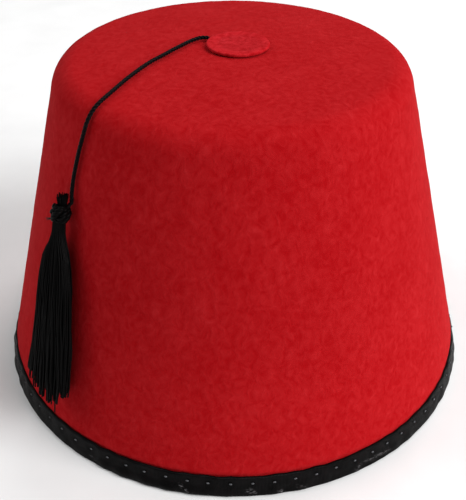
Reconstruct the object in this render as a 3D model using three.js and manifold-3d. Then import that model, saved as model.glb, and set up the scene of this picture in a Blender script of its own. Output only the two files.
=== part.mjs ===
// A felt fez: a moulded shell of red felt, black tape folded over its hem, a felt disc on the
// crown, and a thin black cord that comes out from under the disc, runs over the shoulder and
// hangs down the wall to a knot and a thread tassel.
//
// Millimetres, +Z up. The origin is the middle of the rim, on the surface the hat stands on.
// A turn is counted in degrees about +Z, from the front (-Y) towards the tassel's side (-X).
// A standoff is a distance out of the felt's outer face, so a negative one lies inside it.
import * as THREE from 'three';
import { mergeVertices } from 'three/addons/utils/BufferGeometryUtils.js';
import Module from 'manifold-3d';

const wasm = await Module();
wasm.setup();

// Felt shell
const HEM_RADIUS = 96.3; // outer face of the wall, where its line meets the floor
const TOP_RADIUS = 62.5; // the same line where it meets the height of the crown
const HEIGHT = 128; // top of the crown
const SHOULDER_RADIUS = 9.6; // rounding between wall and crown
const DOME_RADIUS = 580; // the crown's slight dome
const FELT = 2.5;

// Space left between pieces that touch
const CLEARANCE = 0.3;

// Tape folded over the hem, which it presses in
const TAPE = 0.8;
const TAPE_HEIGHT = 8.5; // of its outer leg
const TAPE_INSIDE_HEIGHT = 7.5; // of its inner leg
const HEM_PRESS = 0.8; // depth of the pressed hem's outer face, inside the wall's own
const HEM_ROLL = 2.5; // height over which the wall swells out again, above the tape

// Felt disc on the crown
const DISC_RADIUS = 11.4;
const DISC_THICKNESS = 1.2; // at its rim
const DISC_EDGE = 0.3; // bevel round the rim
const DISC_RIM = 2.2; // width of the raised rim
const DISC_HOLLOW = 0.25; // how far its top sinks inside the rim
const DISC_SHIFT_X = 1.9; // from the hat's axis
const DISC_SHIFT_Y = 0.3;

// Cord
const CORD_DIAMETER = 1.6;
const CORD_EXIT_TURN = 116; // where it comes out from under the disc, about the disc's middle
const CORD_EXIT_LENGTH = 1.5; // straight stretch at each end

// Tassel
const TASSEL_TURN = 48.7;
const TASSEL_SWING = 5; // of its lower end towards the front, in degrees
const KNOT_DROP = 39.5; // of the knot's middle, below the top of the crown
const WINDING_RADIUS = 2.5; // middle of the strands that are wound round the knot
const STRAND_RADIUS = 1.3;
const STRAND_TILT = 25; // of the upper strand one way and the lower one the other, in degrees
const COLLAR_LENGTH = 0.5; // of the knot's collar and foot, beyond its strands
const COLLAR_WALL = 0.4; // round the cord where it goes into the knot
const COLLAR_SIDE = 2.1; // from the knot's middle towards the front
const STUB_ROOT_RADIUS = 1.2; // frayed end that stands up out of the knot
const STUB_RADIUS = 1.8;
const STUB_REACH = 6.8; // of its tip, from the knot's middle
const STUB_SIDE = 0.2; // from the knot's middle towards the back
const STUB_LEAN = 0.8; // from the knot's middle towards the wall
const NECK_RADIUS = 2.3;
const SKIRT_WIDTH = 27; // at its ends, across the wall
const SKIRT_DEPTH = 9; // out of the wall
const TASSEL_RISE = 12; // of the lowest lock's end, above the tape's edge

// The cord's route from the disc to the tassel. turn is in degrees. way is 0 at the middle of
// the crown, 1 where the shoulder begins, 2 where the wall begins and 3 at the cord's end. lift
// is how far the cord stands up from where it would lie.
const CORD_ROUTE = [
  { turn: 117, way: 0.226, lift: 0.2 },
  { turn: 107.5, way: 0.251, lift: 0 },
  { turn: 95.9, way: 0.283, lift: 0 },
  { turn: 84, way: 0.33, lift: 0 },
  { turn: 76, way: 0.383, lift: 0 },
  { turn: 69.7, way: 0.441, lift: 0 },
  { turn: 62.1, way: 0.562, lift: 0 },
  { turn: 55.6, way: 0.692, lift: 0 },
  { turn: 51.3, way: 0.807, lift: 0 },
  { turn: 48.6, way: 0.893, lift: 0 },
  { turn: 46.5, way: 0.977, lift: 0 },
  { turn: 45.5, way: 1.174, lift: 0 },
  { turn: 45.2, way: 1.404, lift: 0 },
  { turn: 45.1, way: 1.64, lift: 0 },
  { turn: 45.2, way: 1.85, lift: 0 },
  { turn: 45.6, way: 2.02, lift: 0 },
  { turn: 46.5, way: 2.2, lift: 0 },
  { turn: 47.3, way: 2.4, lift: 0 },
  { turn: 48, way: 2.68, lift: 0 },
];

// The tassel's outline. down is a share of the skirt's length, width and depth are shares of
// the skirt's own, lock is the radius of one lock as a share of the skirt's depth, and off is
// how far the bundle's back stands off the wall, as a share of the knot's radius.
const SKIRT_SECTIONS = [
  { down: 0, width: 0.18, depth: 0.6, lock: 0.14, off: 0.41 },
  { down: 0.06, width: 0.18, depth: 0.6, lock: 0.15, off: 0.4 },
  { down: 0.1, width: 0.33, depth: 0.7, lock: 0.18, off: 0.29 },
  { down: 0.17, width: 0.5, depth: 0.82, lock: 0.22, off: 0.17 },
  { down: 0.32, width: 0.65, depth: 0.92, lock: 0.24, off: 0.06 },
  { down: 0.5, width: 0.76, depth: 0.98, lock: 0.26, off: 0.01 },
  { down: 0.7, width: 0.87, depth: 1, lock: 0.27, off: 0 },
  { down: 0.88, width: 0.97, depth: 1, lock: 0.27, off: 0 },
  { down: 1, width: 1, depth: 0.94, lock: 0.25, off: 0 },
];

// The locks, one round the bundle after the other. end is where the lock stops, as a share of
// the skirt's length. The core stops above them all, and each is drawn in by END_TAPER.
const CORE_END = 0.8;
const END_TAPER = 0.5;
const LOCKS = [
  { end: 0.91 },
  { end: 0.95 },
  { end: 0.975 },
  { end: 1 },
  { end: 0.985 },
  { end: 0.955 },
  { end: 0.915 },
  { end: 0.9 },
  { end: 0.94 },
  { end: 0.96 },
  { end: 0.965 },
  { end: 0.96 },
  { end: 0.94 },
  { end: 0.92 },
];

// Facets
const HAT_SIDES = 72;
const DISC_SIDES = 40;
const DOME_STEPS = 5;
const SHOULDER_STEPS = 5;
const FOLD_STEPS = 3;
const CORD_SIDES = 8;
const CORD_STEPS = 56;
const STRAND_SIDES = 8;
const WINDING_SIDES = 18;
const CORE_SIDES = 14;
const POST_SIDES = 10;
const LOCK_SIDES = 8;
const LOCK_STEPS = 9;

const { degToRad, lerp } = THREE.MathUtils;

const felt = finish('felt', 0xb4191d, 0.95);
const discFelt = finish('disc felt', 0xbf2c31, 0.95);
const tape = finish('tape', 0x1a191b, 0.55);
const thread = finish('thread', 0x0d0b0c, 0.6);

function finish(name, color, roughness) {
  return new THREE.MeshStandardMaterial({ name, color, roughness, metalness: 0 });
}

function piece(name, geometry, material) {
  const mesh = new THREE.Mesh(geometry, material);
  mesh.name = name;
  return mesh;
}

// Turns an outline of (radius, height) points about the Z axis.
function spun(outline, sides) {
  return new THREE.LatheGeometry(outline, sides).rotateX(Math.PI / 2);
}

// The hat's outline: dome, shoulder and wall touch each other, and faces at any standoff
// share their centres.
const lean = Math.atan2(HEM_RADIUS - TOP_RADIUS, HEIGHT);
const wallOut = new THREE.Vector2(Math.cos(lean), Math.sin(lean));
const wallUp = new THREE.Vector2(-Math.sin(lean), Math.cos(lean));
const domeCentre = new THREE.Vector2(0, HEIGHT - DOME_RADIUS);
const shoulderCentre = findShoulderCentre();
const domeEdge = shoulderCentre.clone().sub(domeCentre).angle();
const wallTop = onArc(shoulderCentre, SHOULDER_RADIUS, lean).y;

function findShoulderCentre() {
  const foot = new THREE.Vector2(HEM_RADIUS, 0).addScaledVector(wallOut, -SHOULDER_RADIUS);
  const fromDome = foot.sub(domeCentre);
  const along = fromDome.dot(wallUp);
  const reach = DOME_RADIUS - SHOULDER_RADIUS;
  const climb = Math.sqrt(along ** 2 - fromDome.lengthSq() + reach ** 2) - along;
  return fromDome.addScaledVector(wallUp, climb).add(domeCentre);
}

function onArc(centre, radius, angle) {
  return new THREE.Vector2(Math.cos(angle), Math.sin(angle)).multiplyScalar(radius).add(centre);
}

function domePoint(share, standoff) {
  return onArc(domeCentre, DOME_RADIUS + standoff, lerp(Math.PI / 2, domeEdge, share));
}

function shoulderPoint(share, standoff) {
  return onArc(shoulderCentre, SHOULDER_RADIUS + standoff, lerp(domeEdge, lean, share));
}

function wallPoint(height, standoff) {
  const radius = HEM_RADIUS - height * Math.tan(lean) + standoff / Math.cos(lean);
  return new THREE.Vector2(radius, height);
}

// A point of the outline, placed round the hat.
function roundHat(point, turn) {
  const angle = degToRad(turn);
  return new THREE.Vector3(-point.x * Math.sin(angle), -point.x * Math.cos(angle), point.y);
}

// One closed geometry from several that overlap.
function fused(geometries) {
  const solids = geometries.map((geometry) => {
    const shape = geometry.clone();
    shape.deleteAttribute('normal');
    shape.deleteAttribute('uv');
    const merged = mergeVertices(shape, 1e-3);
    const corners = (index) => [0, 1, 2].map((corner) => merged.index.getX(index + corner));
    const triangles = [];
    for (let index = 0; index < merged.index.count; index += 3) {
      const triangle = corners(index);
      if (new Set(triangle).size === 3) triangles.push(...triangle);
    }
    return new wasm.Manifold(
      new wasm.Mesh({
        numProp: 3,
        vertProperties: new Float32Array(merged.attributes.position.array),
        triVerts: new Uint32Array(triangles),
      }),
    );
  });
  const whole = solids.reduce((sum, solid) => sum.add(solid)).getMesh();
  const geometry = new THREE.BufferGeometry();
  geometry.setAttribute('position', new THREE.BufferAttribute(whole.vertProperties, 3));
  geometry.setIndex(new THREE.BufferAttribute(whole.triVerts, 1));
  geometry.computeVertexNormals();
  return geometry;
}

// The outer or inner face of the shell, from the middle of the crown to the shoulder's foot.
function crownOutline(standoff) {
  const outline = [];
  for (let step = 0; step < DOME_STEPS; step++) {
    outline.push(domePoint(step / DOME_STEPS, standoff));
  }
  for (let step = 0; step <= SHOULDER_STEPS; step++) {
    outline.push(shoulderPoint(step / SHOULDER_STEPS, standoff));
  }
  return outline;
}

// Moulded felt, open at the bottom, with its hem inside the fold of the tape.
function feltBody() {
  const hem = TAPE + CLEARANCE;
  const outline = [
    ...crownOutline(-FELT),
    wallPoint(hem, -FELT),
    wallPoint(hem, -HEM_PRESS),
    wallPoint(TAPE_HEIGHT, -HEM_PRESS),
    wallPoint(TAPE_HEIGHT + HEM_ROLL / 2, -HEM_PRESS / 4),
    wallPoint(TAPE_HEIGHT + HEM_ROLL, 0),
    ...crownOutline(0).reverse(),
  ];
  return piece('felt_body', spun(outline, HAT_SIDES), felt);
}

// Tape folded round the hem: two legs, and a flat underside between its rounded folds.
function rimBinding() {
  const leg = CLEARANCE - HEM_PRESS;
  const outside = leg + TAPE;
  const inside = -FELT - CLEARANCE - TAPE;
  const fold = (standoff, direction) => {
    const centre = wallPoint(TAPE, standoff);
    centre.x += direction * TAPE;
    const arc = [];
    for (let step = 0; step <= FOLD_STEPS; step++) {
      const angle = (Math.PI / 2) * (step / FOLD_STEPS);
      const across = -direction * Math.cos(angle);
      arc.push(new THREE.Vector2(across, -Math.sin(angle)).multiplyScalar(TAPE).add(centre));
    }
    return arc;
  };
  const outline = [
    wallPoint(TAPE, leg),
    wallPoint(TAPE, -FELT - CLEARANCE),
    wallPoint(TAPE_INSIDE_HEIGHT, -FELT - CLEARANCE),
    wallPoint(TAPE_INSIDE_HEIGHT, inside),
    ...fold(inside, 1),
    ...fold(outside, -1).reverse(),
    wallPoint(TAPE_HEIGHT, outside),
    wallPoint(TAPE_HEIGHT, leg),
  ];
  outline.push(outline[0].clone());
  return piece('rim_binding', spun(outline, HAT_SIDES), tape);
}

// The disc is spun about the middle of the dome, so that it lies along it, and then swung out
// to its place.
function crownDisc() {
  const at = (up, across) => {
    const angle = Math.PI / 2 - across / DOME_RADIUS;
    return onArc(new THREE.Vector2(), DOME_RADIUS + CLEARANCE + up, angle);
  };
  const outline = [
    at(0, 0),
    at(0, DISC_RADIUS - DISC_EDGE),
    at(DISC_EDGE, DISC_RADIUS),
    at(DISC_THICKNESS - DISC_EDGE, DISC_RADIUS),
    at(DISC_THICKNESS, DISC_RADIUS - DISC_EDGE),
    at(DISC_THICKNESS, DISC_RADIUS - DISC_RIM),
    at(DISC_THICKNESS - DISC_HOLLOW, DISC_RADIUS - 2 * DISC_RIM),
    at(DISC_THICKNESS - DISC_HOLLOW, 0),
  ];
  const disc = piece('crown_disc', spun(outline, DISC_SIDES), discFelt);
  const swing = new THREE.Group();
  swing.position.set(0, 0, domeCentre.y);
  swing.rotation.set(-DISC_SHIFT_Y / DOME_RADIUS, DISC_SHIFT_X / DOME_RADIUS, 0);
  swing.add(disc);
  return swing;
}

// The tassel's own frame lies on the wall at the knot: x across the wall towards the back,
// y out of it and z up along it.
const knotHeight = HEIGHT - KNOT_DROP;
const knotRadius = WINDING_RADIUS + STRAND_RADIUS;
const knotOut = CLEARANCE + knotRadius;
const knotReach = knotRadius + COLLAR_LENGTH;
const collarRadius = CORD_DIAMETER / 2 + COLLAR_WALL;
const collarOut = CLEARANCE + collarRadius;
const tasselFrame = findTasselFrame();

function findTasselFrame() {
  const out = roundHat(wallOut, TASSEL_TURN);
  const up = roundHat(wallUp, TASSEL_TURN).applyAxisAngle(out, degToRad(TASSEL_SWING));
  const across = new THREE.Vector3().crossVectors(out, up);
  const frame = new THREE.Matrix4().makeBasis(across, out, up);
  return frame.setPosition(roundHat(wallPoint(knotHeight, 0), TASSEL_TURN));
}

// The cord's centre line: out of the disc's edge, along the route, and into the knot's collar.
function cordPath() {
  const lie = CLEARANCE + CORD_DIAMETER / 2;
  const cordEnd = knotHeight + (knotReach + CLEARANCE) * Math.cos(lean);
  const fromDisc = (distance) => {
    const angle = degToRad(CORD_EXIT_TURN);
    const x = DISC_SHIFT_X - distance * Math.sin(angle);
    const y = DISC_SHIFT_Y - distance * Math.cos(angle);
    const height = Math.sqrt((DOME_RADIUS + lie) ** 2 - x ** 2 - y ** 2) + domeCentre.y;
    return new THREE.Vector3(x, y, height);
  };
  const alongRoute = ({ turn, way, lift }) => {
    const standoff = lie + lift;
    if (way <= 1) return roundHat(domePoint(way, standoff), turn);
    if (way <= 2) return roundHat(shoulderPoint(way - 1, standoff), turn);
    return roundHat(wallPoint(lerp(wallTop, cordEnd, way - 2), standoff), turn);
  };
  const intoCollar = (above) => {
    const end = new THREE.Vector3(-COLLAR_SIDE, collarOut, knotReach + CLEARANCE + above);
    return end.applyMatrix4(tasselFrame);
  };
  const edge = DISC_RADIUS + CLEARANCE;
  return new THREE.CatmullRomCurve3([
    fromDisc(edge),
    fromDisc(edge + CORD_EXIT_LENGTH),
    ...CORD_ROUTE.map(alongRoute),
    intoCollar(CORD_EXIT_LENGTH),
    intoCollar(0),
  ]);
}

function tasselCord() {
  const corners = [];
  for (let side = 0; side < CORD_SIDES; side++) {
    corners.push(onArc(new THREE.Vector2(), CORD_DIAMETER / 2, (side / CORD_SIDES) * 2 * Math.PI));
  }
  const settings = { steps: CORD_STEPS, extrudePath: cordPath() };
  const tube = new THREE.ExtrudeGeometry(new THREE.Shape(corners), settings);
  return piece('tassel_cord', tube, thread);
}

// A column of rings between two flat ends. place gives the middle, the half width and the half
// depth of the ring at a share of the way down.
function column(sides, steps, place) {
  const shape = new THREE.CylinderGeometry(1, 1, 1, sides, steps).rotateX(Math.PI / 2);
  const corner = new THREE.Vector3();
  const corners = shape.attributes.position;
  for (let index = 0; index < corners.count; index++) {
    corner.fromBufferAttribute(corners, index);
    const ring = place(0.5 - corner.z);
    const x = ring.middle.x + corner.x * ring.halfWidth;
    const y = ring.middle.y + corner.y * ring.halfDepth;
    corners.setXYZ(index, x, y, ring.middle.z);
  }
  return shape;
}

// Two strands wound round a core, with a collar for the cord, a foot over the neck and the
// frayed stub.
function tasselKnot() {
  const tilt = degToRad(STRAND_TILT);
  const strand = (side) => {
    const ring = new THREE.TorusGeometry(WINDING_RADIUS, STRAND_RADIUS, STRAND_SIDES, WINDING_SIDES);
    const height = WINDING_RADIUS * (1 - Math.sin(tilt));
    return ring.rotateY(side * tilt).translate(0, knotOut, side * height);
  };
  const post = (rootRadius, tipRadius, reach, x, y) => {
    const shape = new THREE.CylinderGeometry(tipRadius, rootRadius, Math.abs(reach), POST_SIDES);
    return shape.rotateX(Math.PI / 2).translate(x, y, reach / 2);
  };
  const core = new THREE.SphereGeometry(WINDING_RADIUS + STRAND_RADIUS / 2, CORE_SIDES, POST_SIDES);
  const knot = fused([
    core.translate(0, knotOut, 0),
    strand(1),
    strand(-1),
    post(collarRadius, collarRadius, knotReach, -COLLAR_SIDE, collarOut),
    post(NECK_RADIUS, NECK_RADIUS, -knotReach, 0, knotOut),
    post(STUB_ROOT_RADIUS, STUB_RADIUS, STUB_REACH, STUB_SIDE, knotOut - STUB_LEAN),
  ]);
  return piece('tassel_knot', knot, thread);
}

// Locks of thread fused round a core that fills the bundle.
function tasselSkirt() {
  const top = -knotReach - CLEARANCE;
  const lowest = (TAPE_HEIGHT + TASSEL_RISE - knotHeight) / Math.cos(lean);
  const section = (down) => {
    const next = SKIRT_SECTIONS.findIndex((row, index) => index > 0 && row.down >= down);
    const from = SKIRT_SECTIONS[next - 1];
    const to = SKIRT_SECTIONS[next];
    const share = (down - from.down) / (to.down - from.down);
    const halfWidth = (lerp(from.width, to.width, share) * SKIRT_WIDTH) / 2;
    const halfDepth = (lerp(from.depth, to.depth, share) * SKIRT_DEPTH) / 2;
    const lock = lerp(from.lock, to.lock, share) * SKIRT_DEPTH;
    const off = CLEARANCE + lerp(from.off, to.off, share) * knotRadius;
    const middle = new THREE.Vector3(0, off + halfDepth, lerp(top, lowest, down));
    return { halfWidth, halfDepth, lock, middle };
  };
  // Full for most of its length, then drawn in towards its end.
  const drawnIn = (share) => 1 - END_TAPER * share ** 6;
  const core = column(CORE_SIDES, LOCK_STEPS, (share) => {
    const { middle, halfWidth, halfDepth, lock } = section(share * CORE_END);
    const full = drawnIn(share);
    return { middle, halfWidth: (halfWidth - lock) * full, halfDepth: (halfDepth - lock) * full };
  });
  const locks = LOCKS.map(({ end }, index) => {
    const angle = ((index + 0.5) / LOCKS.length) * 2 * Math.PI;
    return column(LOCK_SIDES, LOCK_STEPS, (share) => {
      const { middle, halfWidth, halfDepth, lock } = section(share * end);
      middle.x += (halfWidth - lock) * Math.cos(angle);
      middle.y += (halfDepth - lock) * Math.sin(angle);
      const radius = lock * drawnIn(share);
      return { middle, halfWidth: radius, halfDepth: radius };
    });
  });
  return piece('tassel_skirt', fused([core, ...locks]), thread);
}

const tassel = new THREE.Group();
tassel.applyMatrix4(tasselFrame);
tassel.add(tasselKnot(), tasselSkirt());

const fez = new THREE.Group();
fez.add(feltBody(), rimBinding(), crownDisc(), tasselCord(), tassel);

export default fez;
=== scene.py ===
"""A felt fez: a moulded shell of red felt, black tape folded and stitched over its hem, a felt disc on
the crown, and a twisted black cord that hangs down the wall to a knot and a thread tassel.

Metres, +Z up. The origin is on the floor, under the middle of the hat. A turn is counted in degrees
about +Z, from the front (-Y) towards the tassel's side (-X). A standoff is a distance out of the
felt's outer face. Outlines are made of points (radius, height).
"""

import math
import random

import bpy
from mathutils import Matrix, Vector, noise


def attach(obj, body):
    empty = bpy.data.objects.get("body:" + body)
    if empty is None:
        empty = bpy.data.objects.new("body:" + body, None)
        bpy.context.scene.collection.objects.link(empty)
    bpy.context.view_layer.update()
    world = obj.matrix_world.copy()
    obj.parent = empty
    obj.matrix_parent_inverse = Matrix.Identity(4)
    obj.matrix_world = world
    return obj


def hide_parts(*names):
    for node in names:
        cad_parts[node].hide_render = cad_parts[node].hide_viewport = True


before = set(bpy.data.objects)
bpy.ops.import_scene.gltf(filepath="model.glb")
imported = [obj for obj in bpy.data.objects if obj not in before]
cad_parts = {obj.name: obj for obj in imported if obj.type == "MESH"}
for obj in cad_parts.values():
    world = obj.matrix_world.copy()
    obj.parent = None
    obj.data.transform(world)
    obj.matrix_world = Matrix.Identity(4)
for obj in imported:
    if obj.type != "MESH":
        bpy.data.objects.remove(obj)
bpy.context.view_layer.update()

# Sizes of the frame

HEM_RADIUS = 0.0963
TOP_RADIUS = 0.0625
HEIGHT = 0.128
SHOULDER_RADIUS = 0.0096
DOME_RADIUS = 0.58
FELT = 0.0025
CLEARANCE = 0.0003
TAPE = 0.0008
TAPE_HEIGHT = 0.008
TAPE_INSIDE_HEIGHT = 0.0075
HEM_PRESS = 0.0008
HEM_ROLL = 0.0025
DISC_RADIUS = 0.0114
DISC_THICKNESS = 0.0012
DISC_EDGE = 0.0005
DISC_RIM = 0.0032
DISC_SINK = 0.0003
DISC_SHIFT_X = 0.0019
DISC_SHIFT_Y = 0.0003
CORD_DIAMETER = 0.0016
PLY_OFFSET = 0.0004
PLY_RADIUS = 0.00035
PLY_PITCH = 0.0042
ROUTE_STEP = 0.0004
CORD_EXIT_TURN = 116
TASSEL_TURN = 48.7
TASSEL_SWING = 5
KNOT_HEIGHT = HEIGHT - 0.0395
KNOT_RADIUS = 0.0038
KNOT_REACH = 0.0043
COLLAR_RADIUS = 0.0012
COLLAR_SIDE = 0.0021
SKIRT_WIDTH = 0.027
SKIRT_DEPTH = 0.009
SKIRT_RISE = 0.0125
SKIRT_THREADS = 440
SKIRT_THREAD_RADIUS = 0.00026
LONGEST_THREAD = 90
STUB_THREADS = 90
STUB_THREAD_RADIUS = 0.00019

# how far the soft hat leans towards +X, for each metre of height
LEAN_OVER = -0.0049

# turn in degrees, way along the outline, lift off the felt
CORD_ROUTE = [
    (117, 0.226, 0),
    (107.5, 0.251, 0),
    (95.9, 0.283, 0),
    (84, 0.33, 0),
    (76, 0.383, 0),
    (69.7, 0.441, 0),
    (62.1, 0.562, 0),
    (55.6, 0.692, 0),
    (51.3, 0.807, 0),
    (48.6, 0.893, 0),
    (46.5, 0.977, 0),
    (45.5, 1.174, 0),
    (45.2, 1.404, 0),
    (45.1, 1.64, 0),
    (45.2, 1.85, 0),
    (45.6, 2.02, 0),
    (46.5, 2.2, 0),
    (47.3, 2.4, 0),
    (48, 2.68, 0),
]

# down, width, depth and how far the bundle's back stands off the wall, as shares
SKIRT_SECTIONS = [
    (-0.1, 0.16, 0.5, 0.46),
    (0, 0.17, 0.55, 0.42),
    (0.06, 0.18, 0.58, 0.4),
    (0.1, 0.34, 0.7, 0.29),
    (0.17, 0.51, 0.82, 0.17),
    (0.32, 0.66, 0.92, 0.06),
    (0.5, 0.76, 0.98, 0.01),
    (0.7, 0.87, 1, 0),
    (0.88, 0.97, 1, 0),
    (1.2, 1.02, 0.96, 0),
]
LOCK_ENDS = [0.9, 0.93, 0.95, 0.97, 0.98, 0.955, 0.915, 0.9, 0.94, 0.96, 0.965, 0.96, 0.94, 0.92]

# The hat's outline

LEAN = math.atan2(HEM_RADIUS - TOP_RADIUS, HEIGHT)
WALL_OUT = Vector((math.cos(LEAN), math.sin(LEAN)))
WALL_UP = Vector((-math.sin(LEAN), math.cos(LEAN)))
DOME_CENTRE = Vector((0, HEIGHT - DOME_RADIUS))


def find_shoulder_centre():
    from_dome = Vector((HEM_RADIUS, 0)) - SHOULDER_RADIUS * WALL_OUT - DOME_CENTRE
    along = from_dome.dot(WALL_UP)
    reach = DOME_RADIUS - SHOULDER_RADIUS
    climb = math.sqrt(along**2 - from_dome.length_squared + reach**2) - along
    return from_dome + climb * WALL_UP + DOME_CENTRE


def on_arc(centre, radius, angle):
    return centre + radius * Vector((math.cos(angle), math.sin(angle)))


def mix(first, second, share):
    return first + (second - first) * share


SHOULDER_CENTRE = find_shoulder_centre()
DOME_EDGE = math.atan2(*(SHOULDER_CENTRE - DOME_CENTRE).yx)
WALL_TOP = on_arc(SHOULDER_CENTRE, SHOULDER_RADIUS, LEAN).y


def dome_point(share, standoff):
    return on_arc(DOME_CENTRE, DOME_RADIUS + standoff, mix(math.pi / 2, DOME_EDGE, share))


def shoulder_point(share, standoff):
    return on_arc(SHOULDER_CENTRE, SHOULDER_RADIUS + standoff, mix(DOME_EDGE, LEAN, share))


def wall_point(height, standoff):
    return Vector((HEM_RADIUS - height * math.tan(LEAN) + standoff / math.cos(LEAN), height))


def round_hat(point, turn):
    angle = math.radians(turn)
    return Vector((-point.x * math.sin(angle), -point.x * math.cos(angle), point.y))


def find_tassel_frame():
    """x across the wall towards the back, y out of it, z up along it; the origin at the knot."""
    out = round_hat(WALL_OUT, TASSEL_TURN)
    swing = Matrix.Rotation(math.radians(TASSEL_SWING), 3, out)
    up = swing @ round_hat(WALL_UP, TASSEL_TURN)
    place = Matrix((out.cross(up), out, up)).transposed().to_4x4()
    place.translation = round_hat(wall_point(KNOT_HEIGHT, 0), TASSEL_TURN)
    return place


TASSEL_FRAME = find_tassel_frame()
KNOT_OUT = CLEARANCE + KNOT_RADIUS
LEANT = Matrix.Shear("XY", 4, (LEAN_OVER, 0))

# Camera

bpy.ops.object.camera_add(
    location=(0, -0.27888, 0.2382),
    rotation=(math.radians(54.3793), 0, math.radians(0.1017)),
)
camera = bpy.context.object
camera.name = "camera"
camera.data.sensor_width = 36
camera.data.lens = 58.541
bpy.context.scene.camera = camera

# Making


def finished(piece, *replaced, material, slot):
    """Puts the piece's place in its mesh, leans it over and hands it to the frame."""
    bpy.ops.object.select_all(action="DESELECT")
    piece.select_set(True)
    bpy.context.view_layer.objects.active = piece
    bpy.ops.object.transform_apply(location=True, rotation=True, scale=True)
    piece.data.transform(LEANT)
    bpy.ops.object.shade_smooth_by_angle(angle=math.radians(50))
    piece.data.materials.clear()
    piece.data.materials.append(material)
    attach(piece, "root")
    if replaced:
        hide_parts(*replaced)
    return piece


def drawn_and_spun(name, outline, sides, closed=False):
    """An outline drawn vertex by vertex from the Z axis or beside it, and spun about it."""
    bpy.ops.object.select_all(action="DESELECT")
    start = Vector((outline[0].x, 0, outline[0].y))
    bpy.ops.mesh.primitive_plane_add(size=0.001, location=start)
    piece = bpy.context.object
    piece.name = name
    bpy.ops.object.transform_apply(location=True)
    bpy.ops.object.mode_set(mode="EDIT")
    bpy.ops.mesh.merge(type="CENTER")
    route = outline[1:] + outline[:1] if closed else outline[1:]
    before = outline[0]
    for after in route:
        step = after - before
        bpy.ops.mesh.extrude_region_move(TRANSFORM_OT_translate={"value": (step.x, 0, step.y)})
        before = after
    bpy.ops.mesh.select_all(action="SELECT")
    bpy.ops.mesh.remove_doubles(threshold=1e-6)
    bpy.ops.mesh.spin(steps=sides, angle=2 * math.pi, center=(0, 0, 0), axis=(0, 0, 1))
    bpy.ops.mesh.select_all(action="SELECT")
    bpy.ops.mesh.remove_doubles(threshold=1e-6)
    bpy.ops.mesh.normals_make_consistent(inside=False)
    bpy.ops.object.mode_set(mode="OBJECT")
    return piece


def lumpy(piece, depth, size):
    """Soft shallow lumps, pressed into a surface."""
    texture = bpy.data.textures.new(piece.name + "_lumps", "CLOUDS")
    texture.noise_scale = size
    texture.noise_depth = 2
    bpy.context.view_layer.objects.active = piece
    bpy.ops.object.modifier_add(type="DISPLACE")
    lumps = piece.modifiers[-1]
    lumps.texture = texture
    lumps.texture_coords = "LOCAL"
    lumps.strength = depth
    bpy.ops.object.modifier_apply(modifier=lumps.name)


def threads(name, routes, radius, roundness):
    """One mesh of round threads. A route is a list of (point, share of the radius)."""
    curve = bpy.data.curves.new(name, "CURVE")
    curve.dimensions = "3D"
    curve.bevel_depth = radius
    curve.bevel_resolution = roundness
    curve.use_fill_caps = True
    for route in routes:
        spline = curve.splines.new("POLY")
        spline.points.add(len(route) - 1)
        for spot, (point, share) in zip(spline.points, route):
            spot.co = (*point, 1)
            spot.radius = share
    piece = bpy.data.objects.new(name, curve)
    bpy.context.collection.objects.link(piece)
    bpy.ops.object.select_all(action="DESELECT")
    piece.select_set(True)
    bpy.context.view_layer.objects.active = piece
    bpy.ops.object.convert(target="MESH")
    piece = bpy.context.object
    bpy.ops.object.mode_set(mode="EDIT")
    bpy.ops.mesh.select_all(action="SELECT")
    bpy.ops.mesh.remove_doubles(threshold=1e-7)
    bpy.ops.mesh.normals_make_consistent(inside=False)
    bpy.ops.object.mode_set(mode="OBJECT")
    return piece


def smooth_route(points, spacing):
    """A centripetal curve through the points, cut into steps of one length."""
    ends = [2 * points[0] - points[1], *points, 2 * points[-1] - points[-2]]
    fine = []
    for a, b, c, d in zip(ends, ends[1:], ends[2:], ends[3:]):
        ta = 0
        tb = ta + math.sqrt((b - a).length)
        tc = tb + math.sqrt((c - b).length)
        td = tc + math.sqrt((d - c).length)
        for step in range(16):
            t = mix(tb, tc, step / 16)
            ab = mix(a, b, (t - ta) / (tb - ta))
            bc = mix(b, c, (t - tb) / (tc - tb))
            cd = mix(c, d, (t - tc) / (td - tc))
            abc = mix(ab, bc, (t - ta) / (tc - ta))
            bcd = mix(bc, cd, (t - tb) / (td - tb))
            fine.append(mix(abc, bcd, (t - tb) / (tc - tb)))
    fine.append(points[-1])
    return evenly(fine, spacing)


def evenly(points, spacing):
    lengths = [(after - before).length for before, after in zip(points, points[1:])]
    count = max(2, round(sum(lengths) / spacing))
    step = sum(lengths) / count
    even = [points[0]]
    walked = 0
    for before, after, length in zip(points, points[1:], lengths):
        while len(even) < count and len(even) * step <= walked + length:
            even.append(mix(before, after, (len(even) * step - walked) / length))
        walked += length
    even.append(points[-1])
    return even


def plies(route, count, offset, pitch):
    """The strands of a twisted cord round a route of even steps."""
    across = Vector((0, 0, 1)).cross(route[1] - route[0]).normalized()
    sides = []
    for index, point in enumerate(route):
        forward = route[min(index + 1, len(route) - 1)] - route[max(index - 1, 0)]
        forward.normalize()
        across = (across - across.dot(forward) * forward).normalized()
        sides.append((across.copy(), forward.cross(across)))
    spacing = (route[1] - route[0]).length
    strands = []
    for ply in range(count):
        strand = []
        for index, (point, (side, other)) in enumerate(zip(route, sides)):
            angle = 2 * math.pi * (ply / count + index * spacing / pitch)
            strand.append((point + offset * (math.cos(angle) * side + math.sin(angle) * other), 1))
        strands.append(strand)
    return strands


# Materials


def add_node(material, kind, **values):
    """A node with its properties and its sockets' values. Sockets are named with capitals."""
    node = material.node_tree.nodes.new(kind)
    for name, value in values.items():
        if name[0].isupper():
            node.inputs[name.replace("_", " ")].default_value = value
        else:
            setattr(node, name, value)
    return node


def join(material, source, output, target, socket):
    material.node_tree.links.new(source.outputs[output], target.inputs[socket])


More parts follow.
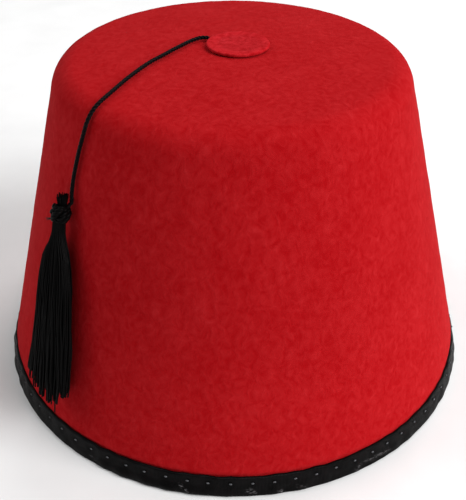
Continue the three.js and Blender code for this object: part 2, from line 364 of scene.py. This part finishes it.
def surface(name, roughness, **values):
    """A material, its shader and its object coordinates."""
    material = bpy.data.materials.new(name)
    material.use_nodes = True
    material.node_tree.nodes.clear()
    shader = add_node(material, "ShaderNodeBsdfPrincipled", Roughness=roughness, **values)
    output = add_node(material, "ShaderNodeOutputMaterial")
    join(material, shader, "BSDF", output, "Surface")
    return material, shader, add_node(material, "ShaderNodeTexCoord")


def shades(material, *stops):
    """A colour ramp with stops (position, colour)."""
    ramp = add_node(material, "ShaderNodeValToRGB")
    elements = ramp.color_ramp.elements
    while len(elements) < len(stops):
        elements.new(0.5)
    for element, (position, colour) in zip(elements, stops):
        element.position = position
        element.color = (*colour, 1)
    return ramp


def felt_finish(name, dark, middle, light, painted_shading_from, painted_shading_to, centre=None):
    """Wool felt: curled fibres over soft clouds, dull, with a short pale nap. Its colour is scaled
    from one (place, scale) to another, by height or by the distance from a centre, as painted light and
    shade."""
    material, shader, place = surface(
        name,
        roughness=0.95,
        Specular_IOR_Level=0.04,
        Sheen_Weight=0.015,
        Sheen_Roughness=0.5,
        Sheen_Tint=(1, 0.5, 0.5, 1),
    )
    stir = add_node(material, "ShaderNodeTexNoise", Scale=190, Detail=1)
    curl = add_node(material, "ShaderNodeVectorMath", operation="MULTIPLY_ADD")
    curl.inputs[1].default_value = (0.005, 0.005, 0.005)
    upright = add_node(material, "ShaderNodeVectorMath", operation="MULTIPLY")
    upright.inputs[1].default_value = (1, 1, 0.66)
    fibres = add_node(
        material,
        "ShaderNodeTexNoise",
        noise_type="RIDGED_MULTIFRACTAL",
        Scale=330,
        Detail=3,
        Roughness=0.7,
    )
    tufts = add_node(material, "ShaderNodeTexNoise", Scale=510, Detail=3, Roughness=0.6)
    clouds = add_node(material, "ShaderNodeTexNoise", Scale=55, Detail=3, Roughness=0.6)
    fibre_share = add_node(material, "ShaderNodeMath", operation="MULTIPLY_ADD")
    fibre_share.inputs[1].default_value = 0.14
    tuft_share = add_node(material, "ShaderNodeMath", operation="MULTIPLY_ADD")
    tuft_share.inputs[1].default_value = 0.56
    cloud_share = add_node(material, "ShaderNodeMath", operation="MULTIPLY")
    cloud_share.inputs[1].default_value = 0.22
    ramp = shades(material, (0.3, dark), (0.5, middle), (0.7, light))
    if centre:
        measure = add_node(material, "ShaderNodeVectorMath", operation="DISTANCE")
        measure.inputs[1].default_value = centre
    else:
        measure = add_node(material, "ShaderNodeSeparateXYZ")
    # painted light and shade: the colour is scaled up or down by height or by the distance from a centre
    painted_shading = add_node(
        material,
        "ShaderNodeMapRange",
        interpolation_type="SMOOTHSTEP",
        From_Min=painted_shading_from[0],
        From_Max=painted_shading_to[0],
        To_Min=painted_shading_from[1],
        To_Max=painted_shading_to[1],
    )
    lighten = add_node(material, "ShaderNodeVectorMath", operation="SCALE")
    bump = add_node(material, "ShaderNodeBump", Strength=0.55, Distance=0.0005)
    join(material, place, "Object", stir, "Vector")
    join(material, stir, "Color", curl, 0)
    join(material, place, "Object", curl, 2)
    join(material, curl, "Vector", fibres, "Vector")
    join(material, curl, "Vector", upright, 0)
    join(material, upright, "Vector", tufts, "Vector")
    join(material, place, "Object", clouds, "Vector")
    join(material, clouds, "Fac", cloud_share, 0)
    join(material, tufts, "Fac", tuft_share, 0)
    join(material, cloud_share, "Value", tuft_share, 2)
    join(material, fibres, "Fac", fibre_share, 0)
    join(material, tuft_share, "Value", fibre_share, 2)
    join(material, fibre_share, "Value", ramp, "Fac")
    join(material, place, "Object", measure, "Vector")
    join(material, measure, "Value" if centre else "Z", painted_shading, "Value")
    join(material, ramp, "Color", lighten, 0)
    join(material, painted_shading, "Result", lighten, "Scale")
    join(material, lighten, "Vector", shader, "Base Color")
    join(material, fibre_share, "Value", bump, "Height")
    join(material, bump, "Normal", shader, "Normal")
    return material


def thread_finish(name, dark, light, roughness, gloss, fuzz=0):
    """Spun thread: fine fibres, a little gloss on its crests and fuzz along its edges."""
    material, shader, place = surface(
        name,
        roughness=roughness,
        Specular_IOR_Level=gloss,
        Sheen_Weight=fuzz,
        Sheen_Roughness=0.4,
        Sheen_Tint=(1, 0.85, 0.95, 1),
    )
    fibres = add_node(material, "ShaderNodeTexNoise", Scale=2600, Detail=3, Roughness=0.7)
    ramp = shades(material, (0.35, dark), (0.75, light))
    bump = add_node(material, "ShaderNodeBump", Strength=0.6, Distance=0.0001)
    join(material, place, "Object", fibres, "Vector")
    join(material, fibres, "Fac", ramp, "Fac")
    join(material, ramp, "Color", shader, "Base Color")
    join(material, fibres, "Fac", bump, "Height")
    join(material, bump, "Normal", shader, "Normal")
    return material


def tape_finish():
    """Woven tape: fine ribs across its width, and a few creases along its lower edge, painted with light
    grey highlights.
    """
    material, shader, place = surface("tape", roughness=0.4, Specular_IOR_Level=0.05)
    parts = add_node(material, "ShaderNodeSeparateXYZ")
    turn = add_node(material, "ShaderNodeMath", operation="ARCTAN2")
    arc = add_node(material, "ShaderNodeMath", operation="MULTIPLY")
    arc.inputs[1].default_value = HEM_RADIUS
    ribs = add_node(material, "ShaderNodeMath", operation="MULTIPLY")
    ribs.inputs[1].default_value = 2 * math.pi / 0.0005
    wave = add_node(material, "ShaderNodeMath", operation="SINE")
    dust = add_node(material, "ShaderNodeTexNoise", Scale=180, Detail=5, Roughness=0.65)
    cloth = shades(material, (0.35, (0.001, 0.0009, 0.0009)), (0.75, (0.0055, 0.0046, 0.0048)))
    # painted highlight: a light grey streaked along the creases, standing in for glints on the folds
    painted_glint = add_node(material, "ShaderNodeAttribute", attribute_name="painted_glint")
    flat = add_node(material, "ShaderNodeVectorMath", operation="MULTIPLY")
    flat.inputs[1].default_value = (1, 1, 2.5)
    streaks = add_node(material, "ShaderNodeTexNoise", Scale=800, Detail=2)
    streak = shades(material, (0.48, (0, 0, 0)), (0.62, (1, 1, 1)))
    glint = add_node(material, "ShaderNodeMath", operation="MULTIPLY")
    paint = add_node(material, "ShaderNodeMix", data_type="RGBA")
    paint.inputs[7].default_value = (0.17, 0.16, 0.165, 1)
    bump = add_node(material, "ShaderNodeBump", Strength=0.35, Distance=0.0002)
    join(material, place, "Object", parts, "Vector")
    join(material, parts, "Y", turn, 0)
    join(material, parts, "X", turn, 1)
    join(material, turn, "Value", arc, 0)
    join(material, arc, "Value", ribs, 0)
    join(material, ribs, "Value", wave, 0)
    join(material, place, "Object", dust, "Vector")
    join(material, dust, "Fac", cloth, "Fac")
    join(material, place, "Object", flat, 0)
    join(material, flat, "Vector", streaks, "Vector")
    join(material, streaks, "Fac", streak, "Fac")
    join(material, painted_glint, "Fac", glint, 0)
    join(material, streak, "Color", glint, 1)
    join(material, glint, "Value", paint, 0)
    join(material, cloth, "Color", paint, 6)
    join(material, paint, 2, shader, "Base Color")
    join(material, wave, "Value", bump, "Height")
    join(material, bump, "Normal", shader, "Normal")
    return material


FELT_FINISH = felt_finish(
    "felt",
    (0.31, 0.002, 0.004),
    (0.368, 0.0076, 0.0102),
    (0.43, 0.0165, 0.0205),
    # painted light: the felt is made up to 8% lighter towards the hem, as if lit by light bounced off the
    # floor
    (0.02, 1.08),
    (0.07, 1),
)
DISC_FINISH = felt_finish(
    "disc_felt",
    (0.31, 0.003, 0.0055),
    (0.43, 0.0122, 0.0175),
    (0.54, 0.031, 0.038),
    # painted light and shade: the raised rim is made lighter and the dished middle darker
    (0.0066, 0.97),
    (0.0092, 1.08),
    centre=(DISC_SHIFT_X + LEAN_OVER * HEIGHT, DISC_SHIFT_Y, HEIGHT + DISC_THICKNESS),
)
TAPE_FINISH = tape_finish()
THREAD_FINISH = thread_finish("thread", (0.0007, 0.0006, 0.0006), (0.0025, 0.0021, 0.0021), 0.5, 0.05)
CORD_FINISH = thread_finish("cord", (0.0008, 0.0005, 0.0006), (0.0036, 0.0025, 0.003), 0.5, 0.06, 0.025)
STITCH_FINISH = thread_finish("stitching", (0.04, 0.042, 0.045), (0.15, 0.15, 0.16), 0.6, 0.2)

# Cord


def cord_route():
    """From under the disc, over the shoulder, into the knot and down inside the tassel."""
    lie = CLEARANCE + CORD_DIAMETER / 2

    def from_disc(distance):
        angle = math.radians(CORD_EXIT_TURN)
        x = DISC_SHIFT_X - distance * math.sin(angle)
        y = DISC_SHIFT_Y - distance * math.cos(angle)
        height = math.sqrt((DOME_RADIUS + lie) ** 2 - x**2 - y**2) + DOME_CENTRE.y
        return Vector((x, y, height))

    def along(turn, way, lift):
        cord_end = KNOT_HEIGHT + (KNOT_REACH + CLEARANCE) * math.cos(LEAN)
        if way <= 1:
            point = dome_point(way, lie + lift)
        elif way <= 2:
            point = shoulder_point(way - 1, lie + lift)
        else:
            point = wall_point(mix(WALL_TOP, cord_end, way - 2), lie + lift)
        return round_hat(point, turn)

    edge = DISC_RADIUS + CLEARANCE
    collar_out = CLEARANCE + COLLAR_RADIUS
    into_knot = [
        (-COLLAR_SIDE, collar_out, KNOT_REACH + 0.003),
        (-COLLAR_SIDE, collar_out, KNOT_REACH),
        (-0.0012, 0.003, 0.002),
        (0, KNOT_OUT, -0.0028),
        (0, KNOT_OUT, -0.008),
        (0, KNOT_OUT, -0.016),
        (0, KNOT_OUT, -0.026),
    ]
    return smooth_route(
        [from_disc(edge - 0.0004) - Vector((0, 0, 0.0004)), from_disc(edge + 0.0002)]
        + [along(*row) for row in CORD_ROUTE]
        + [TASSEL_FRAME @ Vector(point) for point in into_knot],
        ROUTE_STEP,
    )


CORD_LINE = cord_route()
cord = threads("cord", plies(CORD_LINE, 3, PLY_OFFSET, PLY_PITCH), PLY_RADIUS, 2)
finished(cord, "tassel_cord", material=CORD_FINISH, slot="thread")

# Felt shell


def crown_outline(standoff, dome_steps, shoulder_steps):
    dome = [dome_point(step / dome_steps, standoff) for step in range(dome_steps)]
    return dome + [shoulder_point(step / shoulder_steps, standoff) for step in range(shoulder_steps + 1)]


def wall_outline(standoff, top, bottom, steps):
    return [wall_point(mix(top, bottom, step / steps), standoff) for step in range(1, steps + 1)]


def pressed_outline(top, bottom, steps):
    """The wall's outer face down to the hem, which the tape presses in."""
    outline = []
    for step in range(1, steps + 1):
        height = mix(top, bottom, step / steps)
        share = max(0, min(1, (TAPE_HEIGHT + HEM_ROLL - height) / HEM_ROLL))
        outline.append(wall_point(height, -HEM_PRESS * share**2))
    return outline


def felt_shell():
    hem = TAPE + CLEARANCE
    inner_top = shoulder_point(1, -FELT).y
    outline = (
        crown_outline(0, 36, 12)
        + wall_outline(0, WALL_TOP, TAPE_HEIGHT + HEM_ROLL, 72)
        + pressed_outline(TAPE_HEIGHT + HEM_ROLL, TAPE_HEIGHT, 6)
        + wall_outline(-HEM_PRESS, TAPE_HEIGHT, hem, 6)
        + [wall_point(hem, -FELT / 2)]
        + wall_outline(-FELT, inner_top, hem, 30)[::-1]
        + crown_outline(-FELT, 16, 6)[::-1]
    )
    shell = drawn_and_spun("felt_shell", outline, 256)
    lumpy(shell, 0.0003, 0.006)
    return finished(shell, "felt_body", material=FELT_FINISH, slot="felt")


shell = felt_shell()

# Tape and its stitches

STITCHES = 77
STITCH_PHASE = 0.8
STITCH_HEIGHT = 0.0055
STITCH_RADIUS = 0.0006
STITCH_SUNK = 0.00014

# standoffs of the tape's inner face outside the hem and of its outer face inside the hat
OUTER_LEG = CLEARANCE - HEM_PRESS
INNER_LEG = -FELT - CLEARANCE - TAPE


# from (turn in degrees, height) to (turn, height), half width, share of a full crease; each crease is
# raised a little and painted with a light grey highlight
CREASES = [
    ((11.8, 0.0041), (9.4, 0.0012), 0.0004, 1),
    ((10.6, 0.0024), (8.4, 0.0013), 0.0003, 0.6),
    ((-2.3, 0.0029), (-4.9, 0.0017), 0.0004, 0.9),
    ((-3.2, 0.0036), (-4.4, 0.0024), 0.0003, 0.5),
    ((-9.4, 0.0022), (-10.6, 0.0005), 0.0005, 0.8),
    ((-13.2, 0.0028), (-15.8, 0.0016), 0.0004, 0.3),
    ((-27, 0.0012), (-29.2, 0.003), 0.0004, 0.5),
    ((-29.2, 0.003), (-37.5, 0.0027), 0.0005, 0.5),
    ((34, 0.0036), (31.8, 0.0015), 0.0004, 0.4),
    ((150, 0.0034), (153, 0.0014), 0.0004, 0.6),
    ((-112, 0.0036), (-109, 0.0016), 0.0004, 0.5),
]


def crease(turn, height):
    """How far a point of the tape is on a crease, from 0 to 1."""
    most = 0
    for (from_turn, from_height), (to_turn, to_height), width, share in CREASES:
        if abs(turn - (from_turn + to_turn) / 2) > 12:
            continue
        start = Vector((math.radians(from_turn) * HEM_RADIUS, from_height))
        along = Vector((math.radians(to_turn) * HEM_RADIUS, to_height)) - start
        spot = Vector((math.radians(turn) * HEM_RADIUS, height)) - start
        walked = max(0, min(1, spot.dot(along) / along.length_squared))
        away = (spot - walked * along).length
        most = max(most, share * math.exp(-((away / width) ** 2)) * (1 - (2 * walked - 1) ** 4))
    return most


def rim_tape():
    outside = OUTER_LEG + TAPE

    def fold(standoff, side):
        centre = wall_point(TAPE, standoff) + Vector((side * TAPE, 0))
        arc = []
        for step in range(6):
            angle = math.pi / 2 * step / 5
            arc.append(centre + TAPE * Vector((-side * math.cos(angle), -math.sin(angle))))
        return arc

    outline = (
        [wall_point(TAPE, OUTER_LEG), wall_point(TAPE, -FELT - CLEARANCE)]
        + [wall_point(TAPE_INSIDE_HEIGHT * step / 8, -FELT - CLEARANCE) for step in range(2, 9)]
        + [wall_point(TAPE_INSIDE_HEIGHT * step / 8, INNER_LEG) for step in range(8, 1, -1)]
        + fold(INNER_LEG, 1)
        + fold(outside, -1)[::-1]
        + [wall_point(mix(TAPE, TAPE_HEIGHT, step / 13), outside) for step in range(1, 13)]
        + [wall_point(TAPE_HEIGHT - 0.0001, outside - 0.0001)]
        + [wall_point(TAPE_HEIGHT, outside - 0.0004)]
        + [wall_point(TAPE_HEIGHT, OUTER_LEG)]
        + [wall_point(mix(TAPE_HEIGHT, TAPE, step / 4), OUTER_LEG) for step in range(1, 4)]
    )
    tape = drawn_and_spun("rim_tape", outline, 720, closed=True)
    painted_glint = []
    for vertex in tape.data.vertices:
        x, y, z = vertex.co
        across = Vector((x, y, 0)).normalized()
        turn = math.degrees(math.atan2(-x, -y))
        spot = (turn - STITCH_PHASE) / 360 * STITCHES
        gap = abs(spot - round(spot))
        outer = math.hypot(x, y) > wall_point(z, -FELT / 2).x
        near = math.exp(-((gap / 0.16) ** 2) - ((z - STITCH_HEIGHT) / 0.0012) ** 2)
        puff = 0.0001 * math.cos(2 * math.pi * spot) * min(1, max(0, z - 0.002) / 0.005)
        wave = 0.00022 * noise.noise(Vector((math.cos(spot / 11.46), math.sin(spot / 11.46), 0)) * 14)
        fold = crease(turn, z) if outer else 0
        painted_glint.append(fold)
        move = -0.0003 * near - puff + wave * min(1, z / 0.006) + 0.0002 * fold
        vertex.co += across * (move if outer else -move)
        if z > 0.004:
            rise = 0.00045 * math.sin(math.radians(turn + 10)) + 0.0003 * noise.noise(across * 21)
            vertex.co.z += (rise - 0.00015) * (z - 0.004) / 0.004
        elif outer:
            bulge = 0.0009 * noise.noise(across * 17) + 0.0006 * math.exp(-(((turn - 17) / 15) ** 2))
            vertex.co += across * bulge * math.sin(math.pi * z / 0.004)
    # each point's share of a crease, which sets the painted highlight on the creases
    shine = tape.data.attributes.new("painted_glint", "FLOAT", "POINT")
    shine.data.foreach_set("value", painted_glint)
    return finished(tape, "rim_binding", material=TAPE_FINISH, slot="tape")


def stitches():
    """Short bars of grey thread through both legs of the tape, sunk deeper on the tassel's side."""
    dice = random.Random(3)
    bpy.ops.object.select_all(action="DESELECT")
    bpy.ops.mesh.primitive_uv_sphere_add(segments=10, ring_count=8, radius=STITCH_RADIUS)
    bar = bpy.context.object
    bar.scale = (1, 0.55, 0.45)
    bpy.ops.object.transform_apply(scale=True)
    copies = []
    for standoff in (OUTER_LEG + TAPE + 0.00002, INNER_LEG - 0.00002):
        for index in range(STITCHES):
            turn = STITCH_PHASE + 360 * (index + dice.uniform(-0.04, 0.04)) / STITCHES
            height = STITCH_HEIGHT + dice.uniform(-0.0002, 0.0002)
            copy = bar.copy()
            copy.data = bar.data.copy()
            bpy.context.collection.objects.link(copy)
            out = round_hat(WALL_OUT, turn)
            along = Vector((-out.y, out.x, 0)).normalized()
            along = Matrix.Rotation(math.radians(dice.uniform(-9, 9)), 3, out) @ along
            place = Matrix((along, out.cross(along), out)).transposed().to_4x4()
            sunk = STITCH_SUNK * max(0, math.sin(math.radians(turn + 10))) if standoff > 0 else 0
            place.translation = round_hat(wall_point(height, standoff - sunk), turn)
            copy.matrix_world = place
            copies.append(copy)
    bpy.data.objects.remove(bar)
    bpy.ops.object.select_all(action="DESELECT")
    for copy in copies:
        copy.select_set(True)
    bpy.context.view_layer.objects.active = copies[0]
    bpy.ops.object.join()
    row = bpy.context.object
    row.name = "stitches"
    return finished(row, material=STITCH_FINISH, slot="thread")


tape = rim_tape()
seam = stitches()

# Disc on the crown


def felt_disc():
    def at(up, across):
        return on_arc(Vector((0, 0)), DOME_RADIUS + CLEARANCE + up, math.pi / 2 - across / DOME_RADIUS)

    top = DISC_THICKNESS
    edge = DISC_EDGE
    outline = [at(0, 0)] + [at(0, DISC_RADIUS * step / 8 - 0.0003) for step in range(1, 9)]
    outline += [at(0.0002, DISC_RADIUS - 0.0001), at(0.0004, DISC_RADIUS), at(top - edge, DISC_RADIUS)]
    for step in range(1, 6):
        angle = math.pi / 2 * step / 5
        outline.append(at(top - edge * (1 - math.sin(angle)), DISC_RADIUS - edge * (1 - math.cos(angle))))
    for step in range(1, 15):
        across = (DISC_RADIUS - edge) * (1 - step / 14)
        sink = DISC_SINK / (1 + math.exp((across - DISC_RADIUS + DISC_RIM) / edge))
        outline.append(at(top - sink, across))
    disc = drawn_and_spun("felt_disc", outline, 96)
    swing = Matrix.Rotation(-DISC_SHIFT_Y / DOME_RADIUS, 4, "X") @ Matrix.Rotation(
        DISC_SHIFT_X / DOME_RADIUS, 4, "Y"
    )
    disc.data.transform(Matrix.Translation((0, 0, DOME_CENTRE.y)) @ swing)
    lumpy(disc, 0.0003, 0.003)
    return finished(disc, "crown_disc", material=DISC_FINISH, slot="disc_felt")


disc = felt_disc()

# Tassel


def in_tassel(x, y, z):
    return TASSEL_FRAME @ Vector((x, y, z))


def tassel_knot():
    """Two strands of three plies, wound round the neck."""
    strands = []
    for start, radius, height in ((0, 0.002, 0.0024), (1.1, 0.0017, 0.0021)):
        loop = []
        for step in range(151):
            t = 2 * math.pi * step / 150
            out = (radius + 0.0007 * math.cos(3 * t)) * (1 - 0.22 * math.sin(3 * t + 0.4) ** 2)
            x = out * math.cos(2 * t + start)
            y = KNOT_OUT + out * math.sin(2 * t + start)
            loop.append(in_tassel(x, y, height * math.sin(3 * t + 0.4)))
        strands += plies(evenly(loop, ROUTE_STEP), 3, 0.00055, 0.0048)
    knot = threads("knot", strands, 0.00064, 2)
    lumpy(knot, 0.0002, 0.001)
    return finished(knot, "tassel_knot", material=THREAD_FINISH, slot="thread")


def stub():
    """The frayed end that stands up out of the knot, and one end that sticks out sideways."""
    dice = random.Random(8)
    routes = []
    for index in range(STUB_THREADS):
        angle = index * 2.4
        share = math.sqrt((index + 0.5) / STUB_THREADS)
        reach = dice.uniform(0.0057, 0.0071)
        spread = 0.0014 + dice.uniform(0.0002, 0.0013)
        route = []
        for step in range(6):
            s = step / 5
            out = share * mix(0.001, spread, s**1.5)
            x = 0.0002 + out * math.cos(angle) + dice.uniform(-0.0001, 0.0001) * s
            y = KNOT_OUT - 0.0007 + out * math.sin(angle)
            route.append((in_tassel(x, y, mix(-0.001, reach, s)), 1 - 0.3 * s))
        routes.append(route)
    for lift in (0, 0.0003, 0.0006):
        root = Vector((0.0018, KNOT_OUT + 0.0009, -0.002))
        tip = Vector((0.0073 + lift, KNOT_OUT + 0.0007, -0.0047 + lift))
        route = [(TASSEL_FRAME @ mix(root, tip, step / 4), 1.2 - 0.2 * step) for step in range(5)]
        routes.append(route)
    piece = threads("stub", routes, STUB_THREAD_RADIUS, 1)
    return finished(piece, material=THREAD_FINISH, slot="thread")


def skirt_section(down):
    """Half width, half depth and the bundle's middle at a share of the skirt's length."""
    below = next(index for index, row in enumerate(SKIRT_SECTIONS) if index and row[0] >= down)
    first, second = SKIRT_SECTIONS[below - 1], SKIRT_SECTIONS[below]
    share = (down - first[0]) / (second[0] - first[0])
    share = share * share * (3 - 2 * share) * 0.4 + share * 0.6
    width, depth, off = (mix(a, b, share) for a, b in zip(first[1:], second[1:]))
    half_depth = depth * SKIRT_DEPTH / 2
    middle = CLEARANCE + off * KNOT_RADIUS + half_depth
    return width * SKIRT_WIDTH / 2, half_depth, middle


def tassel_skirt():
    """Threads from inside the knot, gathered at the neck and cut ragged."""
    dice = random.Random(21)
    top = -KNOT_REACH - CLEARANCE
    lowest = (TAPE_HEIGHT + SKIRT_RISE - KNOT_HEIGHT) / math.cos(LEAN)
    routes = []
    for index in range(SKIRT_THREADS):
        angle = index * math.pi * (3 - math.sqrt(5)) % (2 * math.pi)
        share = math.sqrt((index + 0.5) / SKIRT_THREADS)
        lock = angle / (2 * math.pi) * len(LOCK_ENDS) - 0.5
        end = LOCK_ENDS[round(lock) % len(LOCK_ENDS)] + 0.03 - 0.16 * dice.random() ** 1.6
        loose = dice.random() ** 12 * dice.choice((-1, 1))
        if index == LONGEST_THREAD:
            end = 1.055
        lock_angle = (round(lock) + 0.5) / len(LOCK_ENDS) * 2 * math.pi
        pull = dice.uniform(0.12, 0.6)
        phases = [dice.uniform(0, 2 * math.pi) for _ in range(4)]
        wave = dice.uniform(0.0001, 0.0004)
        route = []
        for step in range(19):
            down = mix(-0.08, end, step / 18)
            half_width, half_depth, middle = skirt_section(down)
            half_width -= 0.0003
            half_depth -= 0.0003
            lower = max(0, min(1, (down - 0.15) / 0.85))
            x = half_width * share * math.cos(angle) + 0.0016 * loose * math.sin(6 * down)
            y = half_depth * share * math.sin(angle)
            x = mix(x, half_width * 0.8 * math.cos(lock_angle), pull * lower)
            y = mix(y, half_depth * 0.8 * math.sin(lock_angle), pull * lower * share)
            side = share * math.cos(angle)
            x += max(0, down - 0.72) * (0.0125 if side > 0 else 0.0065) * side**2
            sway = wave * min(1, max(0, down) * 3)
            x += sway * (math.sin(9 * down + phases[0]) + 0.5 * math.sin(23 * down + phases[1]))
            y += sway * 0.6 * math.sin(11 * down + phases[2])
            thick = mix(0.62, 1, min(1, max(0, down / 0.25)))
            route.append((in_tassel(x, middle + y, mix(top, lowest, down)), thick))
        routes.append(route)
    piece = threads("skirt", routes, SKIRT_THREAD_RADIUS, 1)
    return finished(piece, "tassel_skirt", material=THREAD_FINISH, slot="thread")


knot = tassel_knot()
frayed = stub()
skirt = tassel_skirt()

# Floor and light


def studio():
    bpy.ops.object.select_all(action="DESELECT")
    bpy.ops.mesh.primitive_plane_add(size=6)
    floor = bpy.context.object
    floor.name = "floor"
    material, shader, place = surface("floor", roughness=0.8, Specular_IOR_Level=0.2)
    grain = add_node(material, "ShaderNodeTexNoise", Scale=30, Detail=3)
    ramp = shades(material, (0.3, (0.8, 0.8, 0.8)), (0.7, (0.84, 0.84, 0.84)))
    join(material, place, "Object", grain, "Vector")
    join(material, grain, "Fac", ramp, "Fac")
    join(material, ramp, "Color", shader, "Base Color")
    floor.data.materials.append(material)
    lights = [
        ("key", (1.52, -0.75, 1.12), 1.2, 50),
        ("side", (-1.5, 0.27, 1.3), 1.2, 15.5),
        ("top", (0.6, 0.8, 1.45), 1, 12.5),
    ]
    for name, place, size, power in lights:
        aim = (Vector((0, 0, 0.07)) - Vector(place)).to_track_quat("-Z", "Y").to_euler()
        bpy.ops.object.light_add(type="AREA", location=place, rotation=aim)
        light = bpy.context.object
        light.name = name
        light.data.size = size
        light.data.energy = power
    world = bpy.data.worlds.new("studio")
    world.use_nodes = True
    world.node_tree.nodes["Background"].inputs["Color"].default_value = (1, 1, 1, 1)
    world.node_tree.nodes["Background"].inputs["Strength"].default_value = 0.2
    bpy.context.scene.world = world
    bpy.context.scene.view_settings.view_transform = "Standard"


studio()
